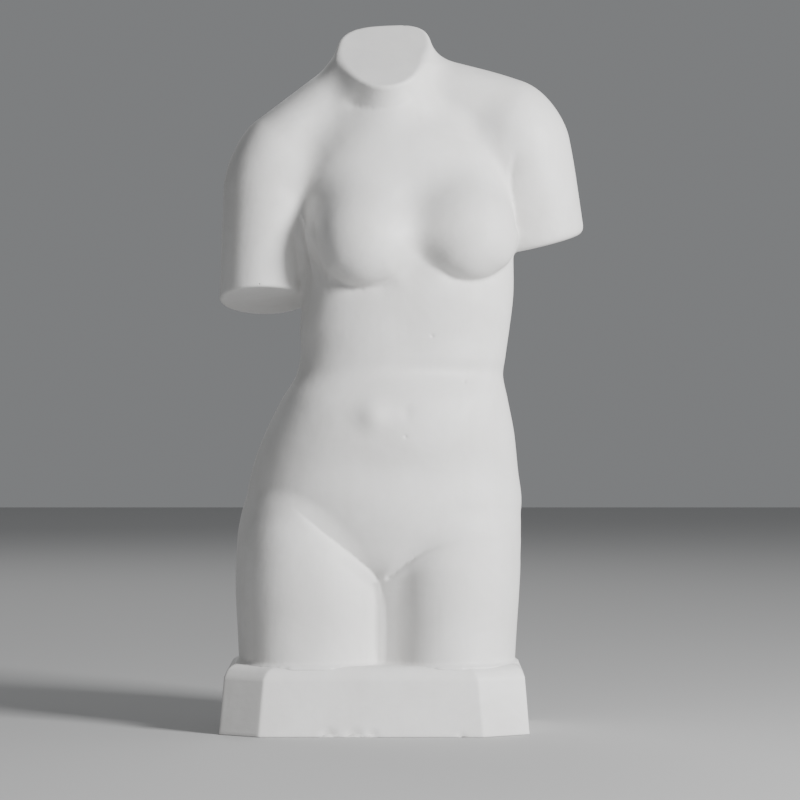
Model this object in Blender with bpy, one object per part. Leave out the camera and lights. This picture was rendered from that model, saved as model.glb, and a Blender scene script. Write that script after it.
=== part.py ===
"""Plaster studio cast of a standing female torso, cast in one with a low chamfered plinth.

The figure is one closed body of blended masses: a trunk and two thighs lofted through named levels,
round-ended limbs for the shoulders, neck and arm stumps, and soft carving on top of them. The arms and
the neck end in plain cut faces. Every length of the figure is in parts, 542 of them to the height of
the figure, and its heights count from the top of the plinth. X runs to the viewer's right, the front
faces -Y and the origin is the middle of the plinth's underside.
"""
import math

import bmesh
import bpy
import numpy as np

TOTAL_HEIGHT = 0.600
PLINTH_HEIGHT = 0.058
FIGURE_HEIGHT = TOTAL_HEIGHT - PLINTH_HEIGHT
PARTS_IN_HEIGHT = 542.0
PART = FIGURE_HEIGHT / PARTS_IN_HEIGHT
FIGURE_WIDENING = 1.015

# Plinth
PLINTH_WIDTH = 0.2505
PLINTH_DEPTH = 0.163
PLINTH_SPREAD = 0.0050
LEFT_CHAMFER_WIDTH = 0.034
RIGHT_CHAMFER_WIDTH = 0.0395
FRONT_CHAMFER_DEPTH = 0.023
BACK_CHAMFER = 0.028
TOP_EDGE_ROUND = 0.0100
TOP_EDGE_SEGMENTS = 4

# Mesh of the figure
GRID_STEP = 5.0
GRID_LOW = (-144.0, -97.0, -12.0)
GRID_HIGH = (190.0, 115.0, 556.0)
FOOT_DEPTH = 8.0
SETTLE_ROUNDS = 4
SETTLE_MOST = 2.0
SETTLE_REACH = 0.3
SETTLE_SLOPE = 0.05
KEEP_TRIANGLES = 9300

# Levels of a loft: height, middle across, half width, front, back, squareness
TRUNK_LEVELS = (
    (34, 3, 46, -8, 30, 2.0),
    (58, 3, 84, -35, 56, 2.0),
    (80, 3, 103, -57, 74, 2.1),
    (105, 5.5, 112, -66, 80, 2.2),
    (132, 7.5, 115.5, -70, 82, 2.25),
    (162, 8.5, 111.5, -72, 79, 2.25),
    (192, 12, 104.5, -73, 70, 2.25),
    (222, 16.5, 94, -69.5, 59, 2.2),
    (242, 21, 86.5, -61.5, 52, 2.2),
    (258, 23.7, 85.5, -61, 49, 2.25),
    (282, 25, 87.5, -62, 51, 2.35),
    (309, 27.7, 88, -63, 57, 2.4),
    (351, 28, 88, -62, 65, 2.4),
    (385, 27, 90, -57, 68, 2.35),
    (420, 24, 86, -49, 66, 2.3),
    (448, 20, 70, -38, 58, 2.2),
    (470, 16, 50, -22, 48, 2.1),
    (490, 12, 34, -6, 38, 2.0),
)
LEFT_THIGH_LEVELS = (
    (-12, -52.5, 60.5, -76, 62, 2.4),
    (30, -53, 62, -74.5, 64, 2.35),
    (60, -54, 62.5, -76, 68, 2.3),
    (90, -56, 60, -74, 72, 2.2),
    (115, -58, 55, -67, 70, 2.1),
    (135, -62, 42, -56, 56, 2.0),
    (150, -66, 24, -40, 36, 2.0),
)
RIGHT_THIGH_LEVELS = (
    (-12, 62, 54.5, -75.5, 62, 2.15),
    (30, 63, 56, -74.5, 64, 2.1),
    (60, 64, 57, -75, 68, 2.1),
    (85, 64, 58, -72, 72, 2.1),
    (105, 65.5, 55.5, -65, 70, 2.1),
    (125, 68, 45, -52, 56, 2.0),
    (140, 70, 24, -36, 36, 2.0),
)
WEB_LEVELS = (
    (-12, 14, 34, -50, 50, 2.0),
    (50, 14, 34, -51, 54, 2.0),
    (80, 12, 30, -50, 58, 2.0),
    (104, 10, 20, -40, 50, 2.0),
)
WEB_BLEND = 18
BETWEEN_THIGHS_BLEND = 5
HIP_BLEND = 12

# Masses: each limb is start, end, start radius, end radius, depth as a share of its width
SHOULDERS = (
    ((-4, 18, 495.5), (-79, 10, 435), 30, 31.5, 1.0),
    ((24, 20, 494), (111, 15, 460), 28, 35.5, 1.0),
)
SHOULDER_BLEND = 22
NECK_LEVELS = (
    (470, 9, 37.5, -7, 37, 2.6),
    (575, 7.5, 36.5, -19, 24, 2.7),
)
NECK_MIDDLE = ((12, 16, 450), (4, -22, 545), 32, 31, 1.0)
THROAT = ((14, 10, 450), (8, -42, 530), 27, 24, 1.0)
NECK_BLEND = 12
NECK_FOOT_BLEND = 22
LEFT_ARM = ((-88.5, 8, 402), (-94, 0, 290), 38.5, 37, 1.06)
RIGHT_ARM = ((123.5, 14, 435), (144.5, 22, 333), 41, 37, 1.0)
LEFT_ARM_CUT = ((-93, 0, 306), (0.0, -0.30, -1.0))
RIGHT_ARM_CUT = ((146, 10, 355), (0.25, 0.10, -1.0))
NECK_CUT = ((10, -8, 513.2), (-0.055, -0.64, 0.77))
CUT_RIM = 2.5
NECK_RIM = 3.0
RIGHT_ARM_RIM = 8.0
LEFT_ARMPIT_BLEND = 10
RIGHT_ARMPIT_BLEND = 5
ARM_TOP_BLEND = 16
LEFT_ARM_MELTS = (375, 425)
RIGHT_ARM_MELTS = (395, 450)
BREASTS = (
    ((-9, -50, 352), (41, 34, 38), 14),
    ((79, -48, 358), (39, 32, 38), -14),
)
BREAST_FOLD_BLEND = 5
BREAST_TOP_BLEND = 26
BREAST_MELTS = (-30, 10)
BUTTOCKS = (
    ((-49, 38, 118), (54, 50, 54)),
    ((57, 36, 109), (52, 48, 52)),
)
BUTTOCK_BLEND = 16

# Soft carving: side, across, height, half width, half height, turn in degrees, raised by
CARVING = {
    "belly": ("front", 32, 206, 58, 34, 0, 3.4),
    "swelling beside the navel": ("front", -1, 209, 12, 12, 0, 3.6),
    "navel": ("front", 26, 212, 5, 6, 10, -1.0),
    "furrow above the lower belly": ("front", 10, 165, 56, 15, 3, -1.5),
    "lower belly": ("front", 14, 128, 46, 20, 3, 2.2),
    "waist furrow": ("front", 62, 246, 50, 8, -2, -3.2),
    "right flank": ("front", 88, 205, 30, 32, 0, 2.2),
    "left flank": ("front", -50, 226, 28, 30, 20, 2.0),
    "rib arch": ("front", 30, 268, 20, 24, 0, -0.8),
    "right ribs": ("front", 72, 300, 34, 22, 0, 1.2),
    "left chest above the breast": ("front", -22, 398, 34, 34, 20, 3.0),
    "right chest above the breast": ("front", 86, 408, 30, 34, -20, 3.0),
    "breastbone": ("front", 35, 350, 13, 36, -4, -0.8),
    "left side of the chest": ("front", -54, 330, 11, 28, -8, -3.2),
    "right collar hollow": ("front", 92, 470, 14, 14, 0, -1.4),
    "left collar hollow": ("front", -46, 456, 20, 14, -30, -1.6),
    "small of the back": ("back", 22, 250, 13, 60, 4, -6.0),
    "spine between the shoulders": ("back", 26, 390, 10, 60, -4, -4.0),
    "right shoulder blade": ("back", 78, 395, 24, 42, -10, 5.0),
    "left shoulder blade": ("back", -24, 380, 24, 42, 10, 5.0),
    "sacrum": ("back", 10, 196, 22, 22, 0, -2.0),
}
CARVING_EDGE = (-5.0, 25.0)

# Creases: side, knots (across, height) of the curve, depth, widths to its left and right, fades at its ends
CREASES = {
    "left groin": (
        "front", ((-72, 137), (-41, 110), (-20, 93), (-1, 76), (5, 65)), 4.6, (18, 5), (0.35, 0.22),
    ),
    "right groin": ("front", ((76, 106), (54, 100), (38, 93), (21, 80), (9, 70)), 3.4, (4, 12), (0.5, 0.22)),
    "left breast fold": ("front", ((-44, 339), (-33, 323), (-16, 315), (8, 317), (23, 324)), 3.0, (14, 9), (0.3, 0.3)),
    "right breast fold": ("front", ((50, 336), (63, 325), (82, 321), (101, 327), (112, 340)), 3.0, (14, 9), (0.3, 0.3)),
    "under the neck": ("front", ((-29, 477), (-16, 470), (9, 467), (29, 474), (38, 488)), 2.6, (15, 9), (0.3, 0.2)),
    "between the thighs": ("front", ((3, 80), (6, 60), (9, 36), (8, -8)), 2.8, (22, 7), (0.25, 0.001)),
    "left armpit": (
        "front", ((-66, 394), (-60, 366), (-56, 340), (-50, 308)), 1.6, (6, 4), (0.4, 0.2),
    ),
    "cleft": ("back", ((12, 166), (7, 132), (4, 98), (3, 68)), 7.0, (8, 8), (0.4, 0.3)),
    "left buttock fold": (
        "back", ((-84, 74), (-52, 64), (-22, 63), (-4, 68)), 3.0, (6, 12), (0.4, 0.3),
    ),
    "right buttock fold": (
        "back", ((92, 68), (62, 57), (30, 56), (10, 64)), 3.0, (6, 12), (0.4, 0.3),
    ),
}
CREASE_FALL = 1.6
CREASE_EDGE = (0.0, 20.0)
CREASE_REACH = 45.0
CREASE_PIECES = 30

PLASTER_COLOUR = (0.78, 0.77, 0.75, 1.0)
PLASTER_ROUGHNESS = 0.75


def smooth_union(first, second, blend):
    """Return the field of two bodies joined, with a fillet of about the blend's size."""
    share = np.clip(0.5 + 0.5 * (second - first) / blend, 0.0, 1.0)
    return second * (1.0 - share) + first * share - blend * share * (1.0 - share)


def smooth_cut(body, cut, rim):
    """Return the field of a body cut off by a plane, with a softened rim."""
    return -smooth_union(-body, -cut, rim)


def bell(offset, width):
    """Return a round bump of height one."""
    return np.exp(-((offset / width) ** 2))


def ramp(value, low, high):
    """Return a smooth step from zero at low to one at high."""
    share = np.clip((value - low) / (high - low), 0.0, 1.0)
    return share * share * (3.0 - 2.0 * share)


def curve_at(stations, values, where):
    """Return a smooth curve's values at the given places along its stations."""
    slopes = np.gradient(values, stations)
    index = np.clip(np.searchsorted(stations, where) - 1, 0, len(stations) - 2)
    span = stations[index + 1] - stations[index]
    t = np.clip((where - stations[index]) / span, 0.0, 1.0)
    start = (2.0 * t**3 - 3.0 * t**2 + 1.0) * values[index]
    end = (3.0 * t**2 - 2.0 * t**3) * values[index + 1]
    leaving = (t**3 - 2.0 * t**2 + t) * slopes[index] * span
    arriving = (t**3 - t**2) * slopes[index + 1] * span
    return start + end + leaving + arriving


def loft(points, levels):
    """Return the field of a body lofted through rounded sections at several heights."""
    table = np.array(levels, float)
    x, y, z = points.T
    height = np.clip(z, table[0, 0], table[-1, 0])
    middle, half, front, back, square = (curve_at(table[:, 0], table[:, c], height) for c in range(1, 6))
    across = x - middle
    deep = y - (front + back) / 2.0
    share = 2.0 * deep / (back - front)
    size = (np.abs(across / half) ** square + np.abs(share) ** square) ** (1.0 / square)
    side = (np.hypot(across, deep) + 1e-6) * (1.0 - 1.0 / np.maximum(size, 1e-3))
    return np.maximum(side, np.maximum(z - table[-1, 0], table[0, 0] - z))


def ellipsoid(points, centre, radii, turn=0.0):
    """Return the field of an ellipsoid turned about the upright axis by some degrees."""
    away = points - np.array(centre, float)
    cosine, sine = math.cos(math.radians(turn)), math.sin(math.radians(turn))
    across = cosine * away[:, 0] - sine * away[:, 1]
    deep = sine * away[:, 0] + cosine * away[:, 1]
    local = np.stack([across, deep, away[:, 2]], 1)
    radii = np.array(radii, float)
    size = np.linalg.norm(local / radii, axis=1)
    slope = np.linalg.norm(local / (radii * radii), axis=1) + 1e-9
    return size * (size - 1.0) / slope


def limb(points, start, end, start_radius, end_radius, flat):
    """Return the field of a round-ended limb that tapers from start to end."""
    squash = np.array((1.0, 1.0 / flat, 1.0))
    away = (points - np.array(start, float)) * squash
    axis = (np.array(end, float) - np.array(start, float)) * squash
    share = np.clip(away @ axis / (axis @ axis), 0.0, 1.0)
    gap = np.linalg.norm(away - share[:, None] * axis, axis=1)
    radius = start_radius + (end_radius - start_radius) * ramp(share, 0.0, 1.0)
    return (gap - radius) * min(flat, 1.0)


def beyond(points, place, normal):
    """Return the distance of the points past a plane."""
    unit = np.array(normal, float) / np.linalg.norm(normal)
    return (points - np.array(place, float)) @ unit


def facing(points, side):
    """Return how far each point lies towards the named side, front or back."""
    return -points[:, 1] if side == "front" else points[:, 1]


def carving(points):
    """Return the height of the soft carving at the points."""
    x, _, z = points.T
    total = np.zeros(len(points))
    for side, across, height, wide, tall, turn, raised in CARVING.values():
        cosine, sine = math.cos(math.radians(turn)), math.sin(math.radians(turn))
        along = (x - across) * cosine + (z - height) * sine
        up = (z - height) * cosine - (x - across) * sine
        total += raised * bell(along, wide) * bell(up, tall) * ramp(facing(points, side), *CARVING_EDGE)
    return total


def curve_distance(places, curve):
    """Return the signed distance to a curve in the front view and the share along it."""
    knots = np.array(curve, float)
    order = np.arange(len(knots), dtype=float)
    where = np.linspace(0.0, len(knots) - 1.0, CREASE_PIECES + 1)
    line = np.stack([curve_at(order, knots[:, 0], where), curve_at(order, knots[:, 1], where)], 1)
    nearest = np.full(len(places), np.inf)
    signed = np.zeros(len(places))
    along = np.zeros(len(places))
    for index in range(CREASE_PIECES):
        start = line[index]
        piece = line[index + 1] - start
        share = np.clip((places - start) @ piece / (piece @ piece), 0.0, 1.0)
        away = places - start - share[:, None] * piece
        gap = np.hypot(away[:, 0], away[:, 1])
        left = piece[0] * (places[:, 1] - start[1]) - piece[1] * (places[:, 0] - start[0]) > 0.0
        closer = gap < nearest
        nearest = np.where(closer, gap, nearest)
        signed = np.where(closer, np.where(left, gap, -gap), signed)
        along = np.where(closer, (index + share) / CREASE_PIECES, along)
    return signed, along


def creases(points):
    """Return the depth of the creases at the points."""
    total = np.zeros(len(points))
    for side, curve, depth, widths, fades in CREASES.values():
        knots = np.array(curve, float)
        towards = facing(points, side)
        places = points[:, [0, 2]]
        low, high = knots.min(0) - CREASE_REACH, knots.max(0) + CREASE_REACH
        near = (towards > 0.0) & ((places > low) & (places < high)).all(1)
        if not near.any():
            continue
        signed, along = curve_distance(places[near], curve)
        left, right = widths
        rise = np.exp(-CREASE_FALL * np.maximum(signed, 0.0) / left)
        fall = np.exp(CREASE_FALL * np.minimum(signed, 0.0) / right)
        ends = ramp(along, 0.0, fades[0]) * ramp(1.0 - along, 0.0, fades[1])
        cut = depth * rise * fall * ends * ramp(towards[near], *CREASE_EDGE)
        total[near] = np.maximum(total[near], cut)
    return total


def masses(points):
    """Return the field of the figure's masses before any carving, negative inside."""
    z = points[:, 2]
    thighs = smooth_union(loft(points, RIGHT_THIGH_LEVELS), loft(points, WEB_LEVELS), WEB_BLEND)
    thighs = smooth_union(thighs, loft(points, LEFT_THIGH_LEVELS), BETWEEN_THIGHS_BLEND)
    body = smooth_union(loft(points, TRUNK_LEVELS), thighs, HIP_BLEND)
    for centre, radii in BUTTOCKS:
        body = smooth_union(body, ellipsoid(points, centre, radii), BUTTOCK_BLEND)
    for shoulder in SHOULDERS:
        body = smooth_union(body, limb(points, *shoulder), SHOULDER_BLEND)
    neck = smooth_union(loft(points, NECK_LEVELS), limb(points, *NECK_MIDDLE), NECK_BLEND)
    neck = smooth_union(neck, limb(points, *THROAT), NECK_BLEND)
    body = smooth_union(body, neck, NECK_FOOT_BLEND)
    for centre, radii, turn in BREASTS:
        blend = BREAST_FOLD_BLEND + BREAST_TOP_BLEND * ramp(z - centre[2], *BREAST_MELTS)
        body = smooth_union(body, ellipsoid(points, centre, radii, turn), blend)
    left_arm = smooth_cut(limb(points, *LEFT_ARM), beyond(points, *LEFT_ARM_CUT), CUT_RIM)
    body = smooth_union(body, left_arm, LEFT_ARMPIT_BLEND + ARM_TOP_BLEND * ramp(z, *LEFT_ARM_MELTS))
    right_arm = smooth_cut(limb(points, *RIGHT_ARM), beyond(points, *RIGHT_ARM_CUT), RIGHT_ARM_RIM)
    return smooth_union(body, right_arm, RIGHT_ARMPIT_BLEND + ARM_TOP_BLEND * ramp(z, *RIGHT_ARM_MELTS))


def figure_field(points):
    """Return the field of the whole figure, negative inside."""
    body = masses(points) - carving(points) + creases(points)
    body = smooth_cut(body, beyond(points, *NECK_CUT), NECK_RIM)
    return np.maximum(body, -FOOT_DEPTH - points[:, 2])


def grid_axes():
    """Return the three axes of the grid that the figure is meshed on."""
    return [np.arange(low, high + GRID_STEP, GRID_STEP) for low, high in zip(GRID_LOW, GRID_HIGH)]


def grid_values(axes):
    """Return the figure's field on the grid."""
    spread = np.meshgrid(*axes, indexing="ij")
    points = np.stack([axis.ravel() for axis in spread], 1)
    return figure_field(points).reshape(spread[0].shape)


def corner(values, offset):
    """Return one corner's value for every cell of the grid."""
    i, j, k = offset
    cells = [size - 1 for size in values.shape]
    return values[i:i + cells[0], j:j + cells[1], k:k + cells[2]]


def cell_points(values, axes):
    """Return a point for each cell that the surface passes through, and the cells' numbers."""
    cells = tuple(size - 1 for size in values.shape)
    count = np.zeros(cells)
    place = np.zeros(cells + (3,))
    for axis in range(3):
        for first in range(2):
            for second in range(2):
                start = [first, second]
                start.insert(axis, 0)
                end = list(start)
                end[axis] = 1
                here, there = corner(values, start), corner(values, end)
                crossed = (here < 0.0) != (there < 0.0)
                share = np.where(crossed, here / np.where(crossed, here - there, 1.0), 0.0)
                count += crossed
                for other in range(3):
                    reached = start[other] + (share if other == axis else 0.0)
                    place[..., other] += np.where(crossed, reached, 0.0)
    used = count > 0
    number = np.full(cells, -1)
    number[used] = np.arange(used.sum())
    origin = np.array([axis[0] for axis in axes])
    points = (np.argwhere(used) + place[used] / count[used][:, None]) * GRID_STEP + origin
    return points, number


def cell_faces(values, number):
    """Return the four-sided faces that join the cells' points, with their normals facing out."""
    inside = values < 0.0
    faces = []
    for axis in range(3):
        first, second = ((1, 2), (2, 0), (0, 1))[axis]
        lower = [slice(1, -1)] * 3
        upper = [slice(1, -1)] * 3
        lower[axis] = slice(0, -1)
        upper[axis] = slice(1, None)
        within = inside[tuple(lower)]
        edges = np.argwhere(within != inside[tuple(upper)])
        outward = within[tuple(edges.T)]
        edges = edges + 1
        edges[:, axis] -= 1
        corners = []
        for back_first, back_second in ((1, 1), (0, 1), (0, 0), (1, 0)):
            cell = edges.copy()
            cell[:, first] -= back_first
            cell[:, second] -= back_second
            corners.append(number[tuple(cell.T)])
        quads = np.stack(corners, 1)
        quads[~outward] = quads[~outward][:, ::-1]
        faces.append(quads)
    return np.concatenate(faces)


def settled(points):
    """Return the points moved onto the figure's surface."""
    for _ in range(SETTLE_ROUNDS):
        value = figure_field(points)
        slope = np.zeros_like(points)
        for axis in range(3):
            nudge = np.zeros(3)
            nudge[axis] = SETTLE_REACH
            ahead, behind = figure_field(points + nudge), figure_field(points - nudge)
            slope[:, axis] = (ahead - behind) / (2.0 * SETTLE_REACH)
        move = value[:, None] * slope / np.maximum((slope * slope).sum(1), SETTLE_SLOPE)[:, None]
        length = np.linalg.norm(move, axis=1, keepdims=True)
        points = points - move * np.minimum(1.0, SETTLE_MOST / np.maximum(length, 1e-9))
    return points


def clear_scene():
    """Remove the objects of the start-up scene."""
    for item in list(bpy.data.objects):
        bpy.data.objects.remove(item)


def plaster():
    """Return the white plaster of the cast."""
    material = bpy.data.materials.new("white_plaster")
    material.use_nodes = True
    shader = material.node_tree.nodes["Principled BSDF"]
    shader.inputs["Base Color"].default_value = PLASTER_COLOUR
    shader.inputs["Roughness"].default_value = PLASTER_ROUGHNESS
    return material


def linked(name, mesh):
    """Return a new object in the scene for the mesh."""
    item = bpy.data.objects.new(name, mesh)
    bpy.context.scene.collection.objects.link(item)
    return item


def figure_mesh():
    """Return the figure as a closed mesh in metres, standing a little into the plinth."""
    axes = grid_axes()
    values = grid_values(axes)
    points, number = cell_points(values, axes)
    faces = cell_faces(values, number)
    places = settled(points) * np.array((FIGURE_WIDENING, 1.0, 1.0)) * PART
    places[:, 2] += PLINTH_HEIGHT
    mesh = bpy.data.meshes.new("figure")
    mesh.from_pydata(places.tolist(), [], faces.tolist())
    mesh.update()
    for face in mesh.polygons:
        face.use_smooth = True
    return mesh


def plinth_side(spread, chamfer_width):
    """Return the four corners on the plinth's right, from the front back, wider by the spread."""
    half_width = PLINTH_WIDTH / 2.0 + spread
    half_depth = PLINTH_DEPTH / 2.0 + spread
    return [
        (half_width - chamfer_width, -half_depth),
        (half_width, -half_depth + FRONT_CHAMFER_DEPTH),
        (half_width, half_depth - BACK_CHAMFER),
        (half_width - BACK_CHAMFER, half_depth),
    ]


def plinth_ring(height, spread):
    """Return the eight corners of the plinth's outline at a height, wider by the spread."""
    right = plinth_side(spread, RIGHT_CHAMFER_WIDTH)
    left = [(-x, y) for x, y in reversed(plinth_side(spread, LEFT_CHAMFER_WIDTH))]
    return [(x, y, height) for x, y in right + left]


def plinth_mesh():
    """Return the plinth as a closed block that tapers upwards and is rounded along its top edge."""
    form = bmesh.new()
    bottom = [form.verts.new(place) for place in plinth_ring(0.0, PLINTH_SPREAD)]
    top = [form.verts.new(place) for place in plinth_ring(PLINTH_HEIGHT, 0.0)]
    form.faces.new(list(reversed(bottom)))
    form.faces.new(top)
    rim = []
    for index in range(len(top)):
        after = (index + 1) % len(top)
        form.faces.new((bottom[index], bottom[after], top[after], top[index]))
        rim.append(form.edges.get((top[index], top[after])))
    bmesh.ops.bevel(
        form,
        geom=rim,
        offset=TOP_EDGE_ROUND,
        offset_type="OFFSET",
        segments=TOP_EDGE_SEGMENTS,
        profile=0.5,
        affect="EDGES",
    )
    bmesh.ops.recalc_face_normals(form, faces=form.faces)
    mesh = bpy.data.meshes.new("plinth_block")
    form.to_mesh(mesh)
    form.free()
    return mesh


def build():
    """Build the cast as one body: the figure, thinned to a light mesh and joined to its plinth."""
    clear_scene()
    finish = plaster()
    cast = linked("torso_cast", figure_mesh())
    cast.data.materials.append(finish)
    block = linked("plinth_block", plinth_mesh())
    block.data.materials.append(finish)
    block.hide_render = True
    block.display_type = "WIRE"
    thin = cast.modifiers.new("fewer faces", "DECIMATE")
    thin.ratio = min(1.0, KEEP_TRIANGLES / (2.0 * len(cast.data.polygons)))
    thin.use_collapse_triangulate = True
    join = cast.modifiers.new("joined to the plinth", "BOOLEAN")
    join.operation = "UNION"
    join.solver = "EXACT"
    join.object = block


if __name__ == "__main__":
    build()
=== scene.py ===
"""Dresses the plaster torso cast: a fine figure and plinth in white plaster, in plain studio light.

The figure is worked out as blended masses with soft carving and creases on top, as in the solid that it
replaces. Its lengths are in parts, 542 of them to the height of the figure, counted from the top of the
plinth. X runs to the viewer's right and the front faces -Y.
"""
from __future__ import annotations

import logging
import math
from dataclasses import dataclass, field
from enum import Enum
from typing import Callable

import bmesh
import bpy
import numpy as np
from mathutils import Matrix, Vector

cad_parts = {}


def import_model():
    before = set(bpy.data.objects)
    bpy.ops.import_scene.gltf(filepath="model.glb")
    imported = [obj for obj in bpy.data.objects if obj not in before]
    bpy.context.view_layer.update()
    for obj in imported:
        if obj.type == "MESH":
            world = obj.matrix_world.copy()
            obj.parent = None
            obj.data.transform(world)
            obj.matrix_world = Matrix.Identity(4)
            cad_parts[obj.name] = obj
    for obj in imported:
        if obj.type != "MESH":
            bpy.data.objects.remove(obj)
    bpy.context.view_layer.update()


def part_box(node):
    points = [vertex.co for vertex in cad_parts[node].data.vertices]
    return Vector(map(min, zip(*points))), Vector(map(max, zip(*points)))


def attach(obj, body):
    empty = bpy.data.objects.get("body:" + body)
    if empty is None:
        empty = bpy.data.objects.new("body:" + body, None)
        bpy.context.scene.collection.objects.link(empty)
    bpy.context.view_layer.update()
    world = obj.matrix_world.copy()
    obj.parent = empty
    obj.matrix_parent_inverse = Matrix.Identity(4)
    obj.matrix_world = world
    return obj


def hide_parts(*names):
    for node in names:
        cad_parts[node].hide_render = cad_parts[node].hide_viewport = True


LOG = logging.getLogger("torso cast")
NODE = "torso_cast"
TINY = 1e-9
PARTS_IN_HEIGHT = 542.0
PLINTH_SHARE = 58.0 / 600.0
TOOTH_HEIGHT = 0.00007
SWELL_HEIGHT = 0.0003
HOLE_DEPTH = 0.0005
Triple = tuple[float, float, float]
Field = Callable[[np.ndarray], np.ndarray]


class Side(Enum):
    """The side of the figure that a mark is carved on."""

    FRONT = -1.0
    BACK = 1.0

    def facing(self, points: np.ndarray) -> np.ndarray:
        """Return how far each point lies towards this side."""
        return points[:, 1] * self.value


def bell(offset: np.ndarray, width: float) -> np.ndarray:
    """Return a round bump of height one."""
    return np.exp(-((offset / width) ** 2))


def ramp(value: np.ndarray, low: float, high: float) -> np.ndarray:
    """Return a smooth step from zero at low to one at high."""
    share = np.clip((value - low) / (high - low), 0.0, 1.0)
    return share * share * (3.0 - 2.0 * share)


def smooth_union(first: np.ndarray, second: np.ndarray, blend: float | np.ndarray) -> np.ndarray:
    """Return the field of two bodies joined by a fillet of about the blend's size."""
    share = np.clip(0.5 + 0.5 * (second - first) / blend, 0.0, 1.0)
    return second * (1.0 - share) + first * share - blend * share * (1.0 - share)


def smooth_cut(body: np.ndarray, cut: np.ndarray, rim: float) -> np.ndarray:
    """Return the field of a body cut off by a plane, with a softened rim."""
    return -smooth_union(-body, -cut, rim)


def curve_at(stations: np.ndarray, values: np.ndarray, where: np.ndarray) -> np.ndarray:
    """Return a smooth curve's values at places along its stations.

    Args:
        stations: The places of the curve's knots, rising.
        values: The curve's value at each knot.
        where: The places to read the curve at.

    Returns:
        One value for each place.
    """
    slopes = np.gradient(values, stations)
    index = np.clip(np.searchsorted(stations, where) - 1, 0, len(stations) - 2)
    span = stations[index + 1] - stations[index]
    t = np.clip((where - stations[index]) / span, 0.0, 1.0)
    start = (2.0 * t**3 - 3.0 * t**2 + 1.0) * values[index]
    end = (3.0 * t**2 - 2.0 * t**3) * values[index + 1]
    leaving = (t**3 - 2.0 * t**2 + t) * slopes[index] * span
    arriving = (t**3 - t**2) * slopes[index + 1] * span
    return start + end + leaving + arriving


@dataclass(frozen=True)
class Loft:
    """A body lofted through rounded sections.

    Each level is its height, middle across, half width, front, back and squareness.
    """

    levels: tuple[tuple[float, ...], ...]

    def at(self, points: np.ndarray) -> np.ndarray:
        """Return the body's field at the points, negative inside."""
        table = np.array(self.levels, float)
        x, y, z = points.T
        height = np.clip(z, table[0, 0], table[-1, 0])
        levels = table[:, 0]
        middle, half, front, back, square = (curve_at(levels, column, height) for column in table.T[1:])
        across = x - middle
        deep = y - (front + back) / 2.0
        share = 2.0 * deep / (back - front)
        size = (np.abs(across / half) ** square + np.abs(share) ** square) ** (1.0 / square)
        side = (np.hypot(across, deep) + 1e-6) * (1.0 - 1.0 / np.maximum(size, 1e-3))
        return np.maximum(side, np.maximum(z - table[-1, 0], table[0, 0] - z))


@dataclass(frozen=True)
class Oval:
    """An ellipsoid, turned about the upright axis by some degrees."""

    centre: Triple
    radii: Triple
    turn: float = 0.0

    def at(self, points: np.ndarray) -> np.ndarray:
        """Return the ellipsoid's field at the points, negative inside."""
        away = points - np.array(self.centre, float)
        cosine, sine = math.cos(math.radians(self.turn)), math.sin(math.radians(self.turn))
        across = cosine * away[:, 0] - sine * away[:, 1]
        deep = sine * away[:, 0] + cosine * away[:, 1]
        local = np.stack([across, deep, away[:, 2]], 1)
        radii = np.array(self.radii, float)
        size = np.linalg.norm(local / radii, axis=1)
        slope = np.linalg.norm(local / (radii * radii), axis=1) + TINY
        return size * (size - 1.0) / slope


@dataclass(frozen=True)
class Limb:
    """A round-ended limb that tapers from start to end. Flat is its depth as a share of its width."""

    start: Triple
    end: Triple
    start_radius: float
    end_radius: float
    flat: float = 1.0

    def at(self, points: np.ndarray) -> np.ndarray:
        """Return the limb's field at the points, negative inside."""
        squash = np.array((1.0, 1.0 / self.flat, 1.0))
        away = (points - np.array(self.start, float)) * squash
        axis = (np.array(self.end, float) - np.array(self.start, float)) * squash
        share = np.clip(away @ axis / (axis @ axis), 0.0, 1.0)
        gap = np.linalg.norm(away - share[:, None] * axis, axis=1)
        radius = self.start_radius + (self.end_radius - self.start_radius) * ramp(share, 0.0, 1.0)
        return (gap - radius) * min(self.flat, 1.0)


@dataclass(frozen=True)
class Cut:
    """A plane that a neck or an arm is cut off by."""

    place: Triple
    normal: Triple

    def at(self, points: np.ndarray) -> np.ndarray:
        """Return the distance of the points past the plane."""
        unit = np.array(self.normal, float) / np.linalg.norm(self.normal)
        return (points - np.array(self.place, float)) @ unit


@dataclass(frozen=True)
class Stump:
    """An arm that ends in a cut face, and the heights between which it melts into the shoulder."""

    limb: Limb
    cut: Cut
    rim: float
    blend: float
    free_at: float
    joined_at: float


@dataclass(frozen=True)
class Swelling:
    """A soft rise, or a hollow where it is raised by less than nothing."""

    side: Side
    across: float
    height: float
    wide: float
    tall: float
    turn: float
    raised: float

    def at(self, points: np.ndarray, edge: tuple[float, float]) -> np.ndarray:
        """Return how much the points are raised.

        Args:
            points: The points, in parts.
            edge: How far towards its side a point has to lie to be carved a little and in full.

        Returns:
            The rise at each point, in parts.
        """
        cosine, sine = math.cos(math.radians(self.turn)), math.sin(math.radians(self.turn))
        x = points[:, 0] - self.across
        z = points[:, 2] - self.height
        shape = bell(x * cosine + z * sine, self.wide) * bell(z * cosine - x * sine, self.tall)
        return self.raised * shape * ramp(self.side.facing(points), *edge)


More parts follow.
